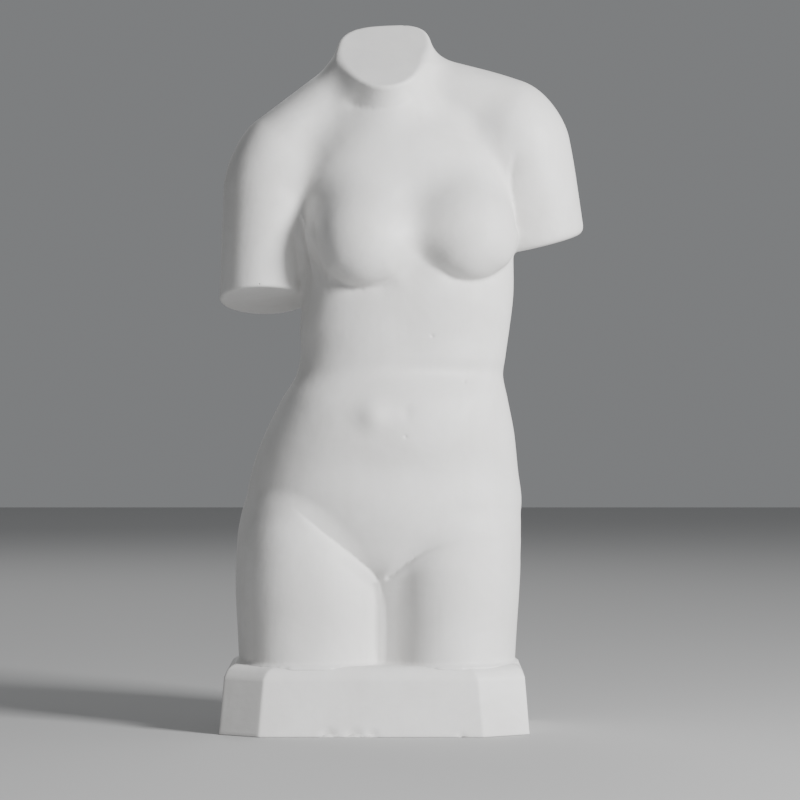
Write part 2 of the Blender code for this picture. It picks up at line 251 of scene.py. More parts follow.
@dataclass(frozen=True)
class Crease:
    """A crease along a curve of (across, height) knots in the front view.

    The widths are of the slopes to the left and right of the curve's way. A depth below nought is a ridge.
    """

    side: Side
    knots: tuple[tuple[float, float], ...]
    depth: float
    left_width: float
    right_width: float
    fade_in: float
    fade_out: float
    reach: float = 45.0
    pieces: int = 30
    fall: float = 1.6
    edge: float = 20.0

    def near(self, points: np.ndarray, reach: float) -> np.ndarray:
        """Return which points lie within reach of the curve's box on the crease's side."""
        knots = np.array(self.knots, float)
        low, high = knots.min(0) - reach, knots.max(0) + reach
        places = points[:, [0, 2]]
        return (self.side.facing(points) > 0.0) & ((places > low) & (places < high)).all(1)

    def distance(self, places: np.ndarray) -> tuple[np.ndarray, np.ndarray]:
        """Measure places in the front view against the curve.

        Args:
            places: Across and height of each place.

        Returns:
            The distance to the curve, positive to its left, and the share along it.
        """
        knots = np.array(self.knots, float)
        order = np.arange(len(knots), dtype=float)
        where = np.linspace(0.0, len(knots) - 1.0, self.pieces + 1)
        line = np.stack([curve_at(order, knots[:, 0], where), curve_at(order, knots[:, 1], where)], 1)
        nearest = np.full(len(places), np.inf)
        signed = np.zeros(len(places))
        along = np.zeros(len(places))
        for index in range(self.pieces):
            start = line[index]
            piece = line[index + 1] - start
            share = np.clip((places - start) @ piece / (piece @ piece), 0.0, 1.0)
            away = places - start - share[:, None] * piece
            gap = np.hypot(away[:, 0], away[:, 1])
            left = piece[0] * (places[:, 1] - start[1]) - piece[1] * (places[:, 0] - start[0]) > 0.0
            closer = gap < nearest
            nearest = np.where(closer, gap, nearest)
            signed = np.where(closer, np.where(left, gap, -gap), signed)
            along = np.where(closer, (index + share) / self.pieces, along)
        return signed, along

    def at(self, points: np.ndarray) -> np.ndarray:
        """Return how deep the crease is at the points."""
        total = np.zeros(len(points))
        near = self.near(points, self.reach)
        if not near.any():
            return total
        signed, along = self.distance(points[near][:, [0, 2]])
        left = np.exp(-self.fall * np.maximum(signed, 0.0) / self.left_width)
        right = np.exp(self.fall * np.minimum(signed, 0.0) / self.right_width)
        ends = ramp(along, 0.0, self.fade_in) * ramp(1.0 - along, 0.0, self.fade_out)
        turned = ramp(self.side.facing(points[near]), 0.0, self.edge)
        total[near] = self.depth * left * right * ends * turned
        return total


@dataclass(frozen=True)
class Pit:
    """An air bubble or a knock in the plaster's skin."""

    side: Side
    across: float
    height: float
    radius: float
    depth: float

    def at(self, points: np.ndarray) -> np.ndarray:
        """Return how deep the pit is at the points."""
        gap = np.hypot(points[:, 0] - self.across, points[:, 2] - self.height)
        return self.depth * bell(gap, self.radius) * (self.side.facing(points) > 0.0)

    def near(self, points: np.ndarray, reach: float) -> np.ndarray:
        """Return which points lie within reach of the pit."""
        gap = np.hypot(points[:, 0] - self.across, points[:, 2] - self.height)
        return (gap < reach) & (self.side.facing(points) > 0.0)


@dataclass(frozen=True)
class Netting:
    """Turns a field into a mesh of four-sided faces on a grid, then settles it onto the surface."""

    low: Triple
    high: Triple
    step: float
    coarse: int = 2
    rounds: int = 4
    most: float = 1.5
    probe: float = 0.3
    shell: float = 2.5
    batch: int = 200000
    flattest: float = 0.05

    def values(self, body: Field) -> tuple[np.ndarray, list[np.ndarray]]:
        """Read the field on the grid, in full only near the surface.

        Args:
            body: The field of the body.

        Returns:
            The field's values on the grid, and the grid's three axes.
        """
        wide = self.step * self.coarse
        counts = [int(math.ceil((high - low) / wide)) for low, high in zip(self.low, self.high)]
        rough_axes = [low + wide * np.arange(count + 1) for low, count in zip(self.low, counts)]
        spread = np.meshgrid(*rough_axes, indexing="ij")
        rough = body(np.stack([axis.ravel() for axis in spread], 1)).reshape(spread[0].shape)
        axes = [low + self.step * np.arange(count * self.coarse + 1)
                for low, count in zip(self.low, counts)]
        picks = [np.minimum((np.arange(len(axis)) + self.coarse // 2) // self.coarse, count)
                 for axis, count in zip(axes, counts)]
        values = rough[np.ix_(*picks)].copy()
        near = np.abs(values) < self.shell * wide
        index = np.argwhere(near)
        points = np.stack([axes[a][index[:, a]] for a in range(3)], 1)
        parts = np.array_split(points, max(1, len(points) // self.batch))
        values[near] = np.concatenate([body(part) for part in parts])
        return values, axes

    @staticmethod
    def corner(values: np.ndarray, offset: list[int]) -> np.ndarray:
        """Return one corner's value for every cell of the grid."""
        i, j, k = offset
        cells = [size - 1 for size in values.shape]
        return values[i:i + cells[0], j:j + cells[1], k:k + cells[2]]

    def points(self, values: np.ndarray, axes: list[np.ndarray]) -> tuple[np.ndarray, np.ndarray]:
        """Place a point in each cell that the surface passes through.

        Args:
            values: The field's values on the grid.
            axes: The grid's three axes.

        Returns:
            The points, and each cell's number among them or -1.
        """
        cells = tuple(size - 1 for size in values.shape)
        count = np.zeros(cells)
        place = np.zeros(cells + (3,))
        for axis in range(3):
            for first in range(2):
                for second in range(2):
                    start = [first, second]
                    start.insert(axis, 0)
                    end = list(start)
                    end[axis] = 1
                    here, there = self.corner(values, start), self.corner(values, end)
                    crossed = (here < 0.0) != (there < 0.0)
                    share = np.where(crossed, here / np.where(crossed, here - there, 1.0), 0.0)
                    count += crossed
                    for other in range(3):
                        reached = start[other] + (share if other == axis else 0.0)
                        place[..., other] += np.where(crossed, reached, 0.0)
        used = count > 0
        number = np.full(cells, -1)
        number[used] = np.arange(used.sum())
        origin = np.array([axis[0] for axis in axes])
        return (np.argwhere(used) + place[used] / count[used][:, None]) * self.step + origin, number

    @staticmethod
    def faces(values: np.ndarray, number: np.ndarray) -> np.ndarray:
        """Join the cells' points by faces whose normals point outwards.

        Args:
            values: The field's values on the grid.
            number: Each cell's number among the points.

        Returns:
            Four point numbers for each face.
        """
        inside = values < 0.0
        faces = []
        for axis in range(3):
            first, second = ((1, 2), (2, 0), (0, 1))[axis]
            lower = [slice(1, -1)] * 3
            upper = [slice(1, -1)] * 3
            lower[axis] = slice(0, -1)
            upper[axis] = slice(1, None)
            within = inside[tuple(lower)]
            edges = np.argwhere(within != inside[tuple(upper)])
            outward = within[tuple(edges.T)]
            edges = edges + 1
            edges[:, axis] -= 1
            corners = []
            for back_first, back_second in ((1, 1), (0, 1), (0, 0), (1, 0)):
                cell = edges.copy()
                cell[:, first] -= back_first
                cell[:, second] -= back_second
                corners.append(number[tuple(cell.T)])
            quads = np.stack(corners, 1)
            quads[~outward] = quads[~outward][:, ::-1]
            faces.append(quads)
        return np.concatenate(faces)

    def settled(self, body: Field, points: np.ndarray) -> np.ndarray:
        """Return the points moved onto the surface of the body."""
        for _ in range(self.rounds):
            value = body(points)
            slope = np.zeros_like(points)
            for axis in range(3):
                nudge = np.zeros(3)
                nudge[axis] = self.probe
                slope[:, axis] = (body(points + nudge) - body(points - nudge)) / (2.0 * self.probe)
            steepness = np.maximum((slope * slope).sum(1), self.flattest)
            move = value[:, None] * slope / steepness[:, None]
            length = np.linalg.norm(move, axis=1, keepdims=True)
            points = points - move * np.minimum(1.0, self.most / np.maximum(length, TINY))
        return points

    def mesh(self, body: Field) -> tuple[np.ndarray, np.ndarray]:
        """Return the body's points and faces."""
        values, axes = self.values(body)
        points, number = self.points(values, axes)
        return self.settled(body, points), self.faces(values, number)


def new_object(name: str, mesh: bpy.types.Mesh) -> bpy.types.Object:
    """Return a new object in the scene for the mesh."""
    item = bpy.data.objects.new(name, mesh)
    bpy.context.scene.collection.objects.link(item)
    return item


class Nodes:
    """A short way to add nodes to a tree and join them."""

    def __init__(self, tree: bpy.types.NodeTree) -> None:
        """Keep the tree that nodes are added to."""
        self.tree = tree

    def add(self, kind: str, **settings: object) -> bpy.types.Node:
        """Add a node.

        Args:
            kind: Blender's name of the node, without its ShaderNode in front.
            settings: The node's properties; one that starts with in_ is an input's plain value.

        Returns:
            The new node.
        """
        node = self.tree.nodes.new(kind if kind.startswith("Node") else f"ShaderNode{kind}")
        for name, value in settings.items():
            if name.startswith("in_"):
                node.inputs[name[3:].replace("_", " ")].default_value = value
            else:
                setattr(node, name, value)
        return node

    def join(self, source: bpy.types.NodeSocket, target: bpy.types.NodeSocket) -> None:
        """Link one socket to another."""
        self.tree.links.new(source, target)

    def maths(self, operation: str, first: object, second: object) -> bpy.types.NodeSocket:
        """Add a Math node.

        Args:
            operation: The node's operation.
            first: A socket or a number.
            second: A socket or a number.

        Returns:
            The node's output socket.
        """
        node = self.add("Math", operation=operation)
        for index, value in enumerate((first, second)):
            if isinstance(value, bpy.types.NodeSocket):
                self.join(value, node.inputs[index])
            else:
                node.inputs[index].default_value = value
        return node.outputs[0]

    def spread(self, value: bpy.types.NodeSocket, low: float, high: float, to_low: float, to_high: float
               ) -> bpy.types.NodeSocket:
        """Add a clamped Map Range node.

        Args:
            value: The value to map.
            low: The value that gives to_low.
            high: The value that gives to_high.
            to_low: The result at low.
            to_high: The result at high.

        Returns:
            The mapped value.
        """
        node = self.add("MapRange", interpolation_type="SMOOTHSTEP")
        self.join(value, node.inputs["Value"])
        for name, number in (("From Min", low), ("From Max", high), ("To Min", to_low), ("To Max", to_high)):
            node.inputs[name].default_value = number
        return node.outputs["Result"]

    def tint(self, share: bpy.types.NodeSocket, base: object, other: object) -> bpy.types.NodeSocket:
        """Mix two colours.

        Args:
            share: How much of the other colour shows.
            base: A colour or a colour socket.
            other: A colour or a colour socket.

        Returns:
            The mixed colour.
        """
        node = self.add("Mix", data_type="RGBA")
        self.join(share, node.inputs["Factor"])
        for slot, value in ((6, base), (7, other)):
            if isinstance(value, bpy.types.NodeSocket):
                self.join(value, node.inputs[slot])
            else:
                node.inputs[slot].default_value = value
        return node.outputs[2]


class PlasterEffects:
    """The node groups that every plaster finish shares."""

    def __init__(self) -> None:
        """Build the groups once."""
        self.mottle = self._mottle()
        self.grain = self._grain()
        self.dust = self._dust_rubbing_and_hollow_shade()

    @staticmethod
    def _group(name: str, inputs: tuple[tuple[str, float], ...], outputs: tuple[str, ...]
               ) -> tuple[bpy.types.NodeTree, Nodes, bpy.types.Node, bpy.types.Node]:
        """Start a node group.

        Args:
            name: The group's name.
            inputs: Each input's name and usual value.
            outputs: Each output's name.

        Returns:
            The tree, its node helper, its input node and its output node.
        """
        tree = bpy.data.node_groups.new(name, "ShaderNodeTree")
        for label, value in inputs:
            socket = tree.interface.new_socket(label, in_out="INPUT", socket_type="NodeSocketFloat")
            socket.default_value = value
        for label in outputs:
            tree.interface.new_socket(label, in_out="OUTPUT", socket_type="NodeSocketFloat")
        nodes = Nodes(tree)
        return tree, nodes, nodes.add("NodeGroupInput"), nodes.add("NodeGroupOutput")

    def _mottle(self) -> bpy.types.NodeTree:
        """Return the group for cloudy tone and the streaks that shellac and brushing leave."""
        tree, nodes, given, result = self._group(
            "plaster mottling", (("Size", 1.0), ("Streaks", 0.5)), ("Cloud", "Streak"))
        place = nodes.add("TexCoord").outputs["Object"]
        cloud = nodes.add("TexNoise", in_Detail=5.0, in_Roughness=0.62, in_Distortion=0.6)
        nodes.join(place, cloud.inputs["Vector"])
        nodes.join(nodes.maths("MULTIPLY", given.outputs["Size"], 11.0), cloud.inputs["Scale"])
        nodes.join(nodes.spread(cloud.outputs["Fac"], 0.32, 0.70, 0.0, 1.0), result.inputs["Cloud"])
        stretch = nodes.add("Mapping", in_Scale=(1.0, 1.0, 0.10))
        nodes.join(place, stretch.inputs["Vector"])
        streak = nodes.add("TexNoise", in_Scale=95.0, in_Detail=3.0, in_Roughness=0.55)
        nodes.join(stretch.outputs["Vector"], streak.inputs["Vector"])
        bands = nodes.spread(streak.outputs["Fac"], 0.42, 0.74, 0.0, 1.0)
        nodes.join(nodes.maths("MULTIPLY", bands, given.outputs["Streaks"]), result.inputs["Streak"])
        return tree

    def _grain(self) -> bpy.types.NodeTree:
        """Return the group for the plaster's fine tooth, pin holes with their painted shade, and soft
        unevenness.
        """
        tree, nodes, given, result = self._group(
            "plaster grain", (("Tooth", 1.0), ("Holes", 1.0)), ("Height", "Hole"))
        place = nodes.add("TexCoord").outputs["Object"]
        fine = nodes.add("TexNoise", in_Scale=1500.0, in_Detail=3.0, in_Roughness=0.6)
        wave = nodes.add("TexNoise", in_Scale=70.0, in_Detail=3.0, in_Roughness=0.5)
        cells = nodes.add("TexVoronoi", in_Scale=52.0, in_Randomness=1.0)
        for texture in (fine, wave, cells):
            nodes.join(place, texture.inputs["Vector"])
        split = nodes.add("SeparateColor")
        nodes.join(cells.outputs["Color"], split.inputs[0])
        few = nodes.spread(split.outputs[0], 0.90, 0.97, 0.0, 1.0)
        hole = nodes.spread(cells.outputs["Distance"], 0.018, 0.045, 1.0, 0.0)
        hole = nodes.maths("MULTIPLY", nodes.maths("MULTIPLY", hole, few), given.outputs["Holes"])
        tooth = nodes.maths("MULTIPLY", fine.outputs["Fac"], TOOTH_HEIGHT)
        tooth = nodes.maths("MULTIPLY", tooth, given.outputs["Tooth"])
        swell = nodes.maths("MULTIPLY", wave.outputs["Fac"], SWELL_HEIGHT)
        height = nodes.maths("ADD", tooth, swell)
        sunk = nodes.maths("MULTIPLY", hole, HOLE_DEPTH)
        nodes.join(nodes.maths("SUBTRACT", height, sunk), result.inputs["Height"])
        # The hole mask also places the painted shade inside the pin holes.
        nodes.join(hole, result.inputs["Hole"])
        return tree

    def _dust_rubbing_and_hollow_shade(self) -> bpy.types.NodeTree:
        """Return the group for dust on what faces up, for rubbed edges and for the painted shade in hollows.
        """
        tree, nodes, given, result = self._group(
            "dust, handling and painted hollow shade", (("Dust", 1.0), ("Rubbing", 1.0)), ("Dusty", "Rubbed", "Painted hollow shade"))
        facts = nodes.add("NewGeometry")
        split = nodes.add("SeparateXYZ")
        nodes.join(facts.outputs["Normal"], split.inputs[0])
        patchy = nodes.add("TexNoise", in_Scale=28.0, in_Detail=4.0, in_Roughness=0.6)
        nodes.join(nodes.add("TexCoord").outputs["Object"], patchy.inputs["Vector"])
        uneven = nodes.spread(patchy.outputs["Fac"], 0.30, 0.66, 0.25, 1.0)
        upward = nodes.spread(split.outputs["Z"], 0.25, 0.95, 0.0, 1.0)
        dusty = nodes.maths("MULTIPLY", nodes.maths("MULTIPLY", upward, uneven), given.outputs["Dust"])
        nodes.join(dusty, result.inputs["Dusty"])
        rubbed = nodes.spread(facts.outputs["Pointiness"], 0.52, 0.62, 0.0, 1.0)
        rubbed = nodes.maths("MULTIPLY", nodes.maths("MULTIPLY", rubbed, uneven), given.outputs["Rubbing"])
        nodes.join(rubbed, result.inputs["Rubbed"])
        # Painted shade: low pointiness marks hollows and creases, which are darkened as if shade fell there.
        nodes.join(nodes.spread(facts.outputs["Pointiness"], 0.40, 0.49, 1.0, 0.0), result.inputs["Painted hollow shade"])
        return tree


@dataclass(frozen=True)
class PlasterFinish:
    """White plaster: its tones, how worn it is, how rough it feels and the painted shade in its hollows and
    pin holes.
    """

    name: str
    clean: Triple = (0.80, 0.795, 0.785)
    worn: Triple = (0.71, 0.70, 0.685)
    # The stain colour of the streaks, also used for the painted shade in the hollows.
    stain_and_hollow_shade: Triple = (0.62, 0.60, 0.57)
    dusty: Triple = (0.66, 0.655, 0.65)
    mottle_size: float = 1.0
    streaks: float = 0.5
    tooth: float = 1.0
    holes: float = 1.0
    dust: float = 0.6
    rubbing: float = 0.6
    smooth_roughness: float = 0.52
    rough_roughness: float = 0.74
    streak_tone: float = 0.30
    # How strongly the painted shade darkens the hollows.
    painted_hollow_shade: float = 0.35
    # Painted shade inside the pin holes.
    hole: Triple = (0.30, 0.28, 0.25)
    refraction: float = 1.50
    gloss: float = 0.42

    def material(self, effects: PlasterEffects) -> bpy.types.Material:
        """Build the finish.

        Args:
            effects: The node groups that the finishes share.

        Returns:
            The new material.
        """
        material = bpy.data.materials.new(self.name)
        material.use_nodes = True
        nodes = Nodes(material.node_tree)
        shader = material.node_tree.nodes["Principled BSDF"]
        mottle = self._placed(nodes, effects.mottle, {"Size": self.mottle_size, "Streaks": self.streaks})
        grain = self._placed(nodes, effects.grain, {"Tooth": self.tooth, "Holes": self.holes})
        dust = self._placed(nodes, effects.dust, {"Dust": self.dust, "Rubbing": self.rubbing})
        colour = nodes.tint(mottle.outputs["Cloud"], (*self.worn, 1.0), (*self.clean, 1.0))
        streaked = nodes.maths("MULTIPLY", mottle.outputs["Streak"], self.streak_tone)
        colour = nodes.tint(streaked, colour, (*self.stain_and_hollow_shade, 1.0))
        colour = nodes.tint(dust.outputs["Dusty"], colour, (*self.dusty, 1.0))
        # Painted shade: the hollows are darkened towards the stain colour as if shaded.
        hollow = nodes.maths("MULTIPLY", dust.outputs["Painted hollow shade"], self.painted_hollow_shade)
        colour = nodes.tint(hollow, colour, (*self.stain_and_hollow_shade, 1.0))
        colour = nodes.tint(dust.outputs["Rubbed"], colour, (*self.clean, 1.0))
        # Painted shade inside the pin holes.
        colour = nodes.tint(grain.outputs["Hole"], colour, (*self.hole, 1.0))
        nodes.join(colour, shader.inputs["Base Color"])
        cloud = mottle.outputs["Cloud"]
        roughness = nodes.spread(cloud, 0.0, 1.0, self.rough_roughness, self.smooth_roughness)
        nodes.join(roughness, shader.inputs["Roughness"])
        bump = nodes.add("Bump", in_Strength=1.0, in_Distance=1.0)
        nodes.join(grain.outputs["Height"], bump.inputs["Height"])
        nodes.join(bump.outputs["Normal"], shader.inputs["Normal"])
        shader.inputs["IOR"].default_value = self.refraction
        shader.inputs["Specular IOR Level"].default_value = self.gloss
        return material

    @staticmethod
    def _placed(nodes: Nodes, group: bpy.types.NodeTree, values: dict[str, float]) -> bpy.types.Node:
        """Place a node group with its own values.

        Args:
            nodes: The helper of the tree that it goes into.
            group: The node group.
            values: Each input's value by name.

        Returns:
            The group node.
        """
        node = nodes.add("Group", node_tree=group)
        for name, value in values.items():
            node.inputs[name].default_value = value
        return node


@dataclass
class Figure:
    """The torso above the plinth, from its foot to the cut of the neck."""

    part: float
    foot: float
    widening: float = 1.015
    trunk: Loft = Loft((
        (34, 3, 46, -8, 30, 2.0),
        (58, 3, 84, -35, 56, 2.0),
        (80, 3, 103, -57, 74, 2.1),
        (105, 5.5, 112, -66, 80, 2.2),
        (132, 7.5, 115.5, -70, 82, 2.25),
        (162, 8.5, 111.5, -72, 79, 2.25),
        (192, 12, 104.5, -73, 70, 2.25),
        (222, 16.5, 94, -69.5, 59, 2.2),
        (242, 21, 86.5, -61.5, 52, 2.2),
        (258, 23.7, 85.5, -61, 49, 2.25),
        (282, 25, 87.5, -62, 51, 2.35),
        (309, 27.7, 88, -63, 57, 2.4),
        (351, 28, 88, -62, 65, 2.4),
        (385, 27, 90, -57, 68, 2.35),
        (420, 24, 86, -49, 66, 2.3),
        (448, 20, 70, -38, 58, 2.2),
        (470, 16, 50, -22, 48, 2.1),
        (490, 12, 34, -6, 38, 2.0),
    ))
    left_thigh: Loft = Loft((
        (-12, -52.5, 60.5, -76, 62, 2.4),
        (30, -53, 62, -74.5, 64, 2.35),
        (60, -54, 62.5, -76, 68, 2.3),
        (90, -56, 60, -74, 72, 2.2),
        (115, -58, 55, -67, 70, 2.1),
        (135, -62, 42, -56, 56, 2.0),
        (150, -66, 24, -40, 36, 2.0),
    ))
    right_thigh: Loft = Loft((
        (-12, 62, 54.5, -75.5, 62, 2.15),
        (30, 63, 56, -74.5, 64, 2.1),
        (60, 64, 57, -75, 68, 2.1),
        (85, 64, 58, -72, 72, 2.1),
        (105, 65.5, 55.5, -65, 70, 2.1),
        (125, 68, 45, -52, 56, 2.0),
        (140, 70, 24, -36, 36, 2.0),
    ))
    web: Loft = Loft((
        (-12, 14, 34, -50, 50, 2.0),
        (50, 14, 34, -51, 54, 2.0),
        (80, 12, 30, -50, 58, 2.0),
        (104, 10, 20, -40, 50, 2.0),
    ))
    shoulders: tuple[Limb, ...] = (
        Limb((-4, 18, 495.5), (-79, 10, 435), 30, 31.5),
        Limb((24, 20, 494), (111, 15, 460), 28, 35.5),
    )
    nape: Loft = Loft((
        (470, 9, 37.5, -7, 37, 2.6),
        (575, 7.5, 36.5, -19, 24, 2.7),
    ))
    neck_middle: Limb = Limb((12, 16, 450), (4, -22, 545), 32, 31)
    throat: Limb = Limb((14, 10, 450), (8, -42, 530), 27, 24)
    neck_cut: Cut = Cut((10, -8, 513.2), (-0.055, -0.64, 0.77))
    arms: tuple[Stump, ...] = (
        Stump(
            Limb((-88.5, 8, 402), (-94, 0, 290), 38.4, 36.9, 1.06),
            Cut((-93, 0, 306), (0.0, -0.30, -1.0)),
            rim=2.5, blend=10, free_at=375, joined_at=425),
        Stump(
            Limb((123.5, 14, 435), (144.5, 22, 333), 41, 37),
            Cut((146, 10, 355), (0.25, 0.10, -1.0)),
            rim=8.3, blend=5, free_at=395, joined_at=450),
    )
    breasts: tuple[Oval, ...] = (
        Oval((-9, -50, 352), (41, 34, 38), 14),
        Oval((79, -48, 358), (39, 32, 38), -14),
    )
    buttocks: tuple[Oval, ...] = (
        Oval((-49, 38, 118), (54, 50, 54)),
        Oval((57, 36, 109), (52, 48, 52)),
    )
    swellings: dict[str, Swelling] = field(default_factory=lambda: {
        "belly": Swelling(Side.FRONT, 32, 206, 58, 34, 0, 3.4),
        "beside the navel": Swelling(Side.FRONT, -1, 209, 12, 12, 0, 3.6),
        "navel": Swelling(Side.FRONT, 26, 212, 5, 6, 10, -1.0),
        "furrow above the lower belly": Swelling(Side.FRONT, 10, 165, 56, 15, 3, -1.5),
        "lower belly": Swelling(Side.FRONT, 14, 128, 46, 20, 3, 2.2),
        "waist furrow": Swelling(Side.FRONT, 62, 246, 50, 8, -2, -3.2),
        "right flank": Swelling(Side.FRONT, 88, 205, 30, 32, 0, 2.2),
        "left flank": Swelling(Side.FRONT, -50, 226, 28, 30, 20, 2.0),
        "rib arch": Swelling(Side.FRONT, 30, 268, 20, 24, 0, -0.8),
        "right ribs": Swelling(Side.FRONT, 72, 300, 34, 22, 0, 1.2),
        "left chest": Swelling(Side.FRONT, -22, 398, 34, 34, 20, 3.0),
        "right chest": Swelling(Side.FRONT, 86, 408, 30, 34, -20, 3.0),
        "breastbone": Swelling(Side.FRONT, 35, 350, 13, 36, -4, -0.8),
        "left side of the chest": Swelling(Side.FRONT, -54, 330, 11, 28, -8, -3.2),
        "right collar hollow": Swelling(Side.FRONT, 92, 470, 14, 14, 0, -1.4),
        "left collar hollow": Swelling(Side.FRONT, -46, 456, 20, 14, -30, -1.6),
        "small of the back": Swelling(Side.BACK, 22, 250, 13, 60, 4, -6.0),
        "spine between the shoulders": Swelling(Side.BACK, 26, 390, 10, 60, -4, -4.0),
        "right shoulder blade": Swelling(Side.BACK, 78, 395, 24, 42, -10, 5.0),
        "left shoulder blade": Swelling(Side.BACK, -24, 380, 24, 42, 10, 5.0),
        "sacrum": Swelling(Side.BACK, 10, 196, 22, 22, 0, -2.0),
    })
    creases: dict[str, Crease] = field(default_factory=lambda: {
        "left groin": Crease(
            Side.FRONT, ((-72, 137), (-41, 110), (-20, 93), (-1, 76), (5, 65)), 4.6, 18, 5, 0.35, 0.22),
        "right groin": Crease(
            Side.FRONT, ((76, 106), (54, 100), (38, 93), (21, 80), (6, 67)), 3.4, 4, 12, 0.5, 0.12),
        "left breast fold": Crease(
            Side.FRONT, ((-44, 339), (-33, 323), (-16, 315), (8, 317), (23, 324)), 3.0, 14, 9, 0.3, 0.3),
        "right breast fold": Crease(
            Side.FRONT, ((50, 336), (63, 325), (82, 321), (101, 327), (112, 340)), 3.0, 14, 9, 0.3, 0.3),
        "under the neck": Crease(
            Side.FRONT, ((-29, 477), (-16, 470), (9, 467), (29, 474), (38, 488)), 2.6, 15, 9, 0.3, 0.2),
        "beside the right arm": Crease(
            Side.FRONT, ((118, 436), (115, 422), (113, 406), (115, 389), (117, 372), (116, 360)),
            2.4, 10, 2.5, 0.3, 0.15),
        "between the thighs": Crease(
            Side.FRONT, ((3, 80), (6, 60), (9, 36), (8, -8)), 2.8, 22, 7, 0.25, 0.001),
        "beside the left arm": Crease(
            Side.FRONT, ((-68, 372), (-66, 350), (-63, 325), (-60, 300)), 3.0, 3, 9, 0.3, 0.1),
        "beside the left chest": Crease(
            Side.FRONT, ((-54, 396), (-50, 370), (-46, 346), (-41, 322), (-37, 308)), 2.2, 9, 4.0, 0.4, 0.3),
        "cleft": Crease(Side.BACK, ((12, 166), (7, 132), (4, 98), (3, 68)), 7.0, 8, 8, 0.4, 0.3),
        "left fold": Crease(Side.BACK, ((-84, 74), (-52, 64), (-22, 63), (-4, 68)), 3.0, 6, 12, 0.4, 0.3),
        "right fold": Crease(Side.BACK, ((92, 68), (62, 57), (30, 56), (10, 64)), 3.0, 6, 12, 0.4, 0.3),
    })
    arm_ridge: Crease = Crease(
        Side.FRONT, ((-64, 387), (-59, 372), (-56, 351), (-52, 330), (-47, 307)), -1.8, 4.0, 4.0, 0.3, 0.3)
    pits: tuple[Pit, ...] = (
        Pit(Side.FRONT, 47.5, 275.6, 1.1, 1.2),
        Pit(Side.FRONT, 74.4, 237.0, 1.2, 1.2),
        Pit(Side.FRONT, 25.6, 191.6, 1.1, 0.9),
    )
    shoulder_blend: float = 22.0
    neck_blend: float = 12.0
    neck_foot_blend: float = 22.0
    thigh_blend: float = 12.0
    web_blend: float = 18.0
    between_thighs_blend: float = 5.0
    buttock_blend: float = 16.0
    arm_top_blend: float = 16.0
    fold_blend: float = 5.0
    breast_top_blend: float = 26.0
    breast_melts: tuple[float, float] = (-30.0, 10.0)
    foot_blend: float = 3.5
    foot_gap: float = 0.2
    foot_depth: float = 4.0
    rim: float = 3.5
    rim_reach: float = 4.0
    neck_from: float = 470.0
    arm_reach: float = 55.0
    fine_reach: float = 6.0
    fine_width: float = 5.0
    cut_reach: float = 1.2
    cut_facing: float = 0.9
    carving_edge: tuple[float, float] = (-5.0, 25.0)
    netting: Netting = Netting((-145.0, -100.0, -8.0), (190.0, 115.0, 556.0), 2.5)

    def masses(self, points: np.ndarray) -> np.ndarray:
        """Return the field of the figure's masses before any carving."""
        thighs = smooth_union(self.right_thigh.at(points), self.web.at(points), self.web_blend)
        thighs = smooth_union(thighs, self.left_thigh.at(points), self.between_thighs_blend)
        body = smooth_union(self.trunk.at(points), thighs, self.thigh_blend)
        for buttock in self.buttocks:
            body = smooth_union(body, buttock.at(points), self.buttock_blend)
        for shoulder in self.shoulders:
            body = smooth_union(body, shoulder.at(points), self.shoulder_blend)
        neck = smooth_union(self.nape.at(points), self.neck_middle.at(points), self.neck_blend)
        neck = smooth_union(neck, self.throat.at(points), self.neck_blend)
        body = smooth_union(body, neck, self.neck_foot_blend)
        for breast in self.breasts:
            melt = ramp(points[:, 2] - breast.centre[2], *self.breast_melts)
            body = smooth_union(body, breast.at(points), self.fold_blend + self.breast_top_blend * melt)
        for arm in self.arms:
            stump = smooth_cut(arm.limb.at(points), arm.cut.at(points), arm.rim)
            melt = ramp(points[:, 2], arm.free_at, arm.joined_at)
            body = smooth_union(body, stump, arm.blend + self.arm_top_blend * melt)
        return body

    def skin(self, points: np.ndarray) -> np.ndarray:
        """Return the field of the carved figure, negative inside."""
        body = self.masses(points)
        for swelling in self.swellings.values():
            body = body - swelling.at(points, self.carving_edge)
        body = body + np.maximum.reduce([crease.at(points) for crease in self.creases.values()])
        body = body + self.arm_ridge.at(points)
        for pit in self.pits:
            body = body + pit.at(points)
        return smooth_cut(body, self.neck_cut.at(points), self.rim)

    def body(self, points: np.ndarray) -> np.ndarray:
        """Return the field of the figure with the fillet at its foot."""
        skin = self.skin(points)
        flared = smooth_union(skin, points[:, 2] + self.foot_gap, self.foot_blend)
        return np.maximum(np.maximum(flared, skin - self.foot_blend), -self.foot_depth - points[:, 2])

    def at_rim(self, points: np.ndarray) -> np.ndarray:
        """Return which points lie near the rim of a cut face."""
        near = (np.abs(self.neck_cut.at(points)) < self.rim_reach) & (points[:, 2] > self.neck_from)
        for arm in self.arms:
            close = np.abs(arm.cut.at(points)) < self.rim_reach
            gap = np.hypot(points[:, 0] - arm.cut.place[0], points[:, 1] - arm.cut.place[1])
            near |= close & (gap < self.arm_reach)
        return near

    def fine(self, points: np.ndarray) -> np.ndarray:
        """Return which points lie where the mesh has to be finer."""
        near = self.at_rim(points)
        for pit in self.pits:
            near |= pit.near(points, self.fine_reach)
        for crease in (self.creases["left groin"], self.creases["right groin"], self.arm_ridge):
            close = crease.near(points, self.fine_reach)
            signed, _ = crease.distance(points[close][:, [0, 2]])
            close[close] = np.abs(signed) < self.fine_width
            near |= close
        return near

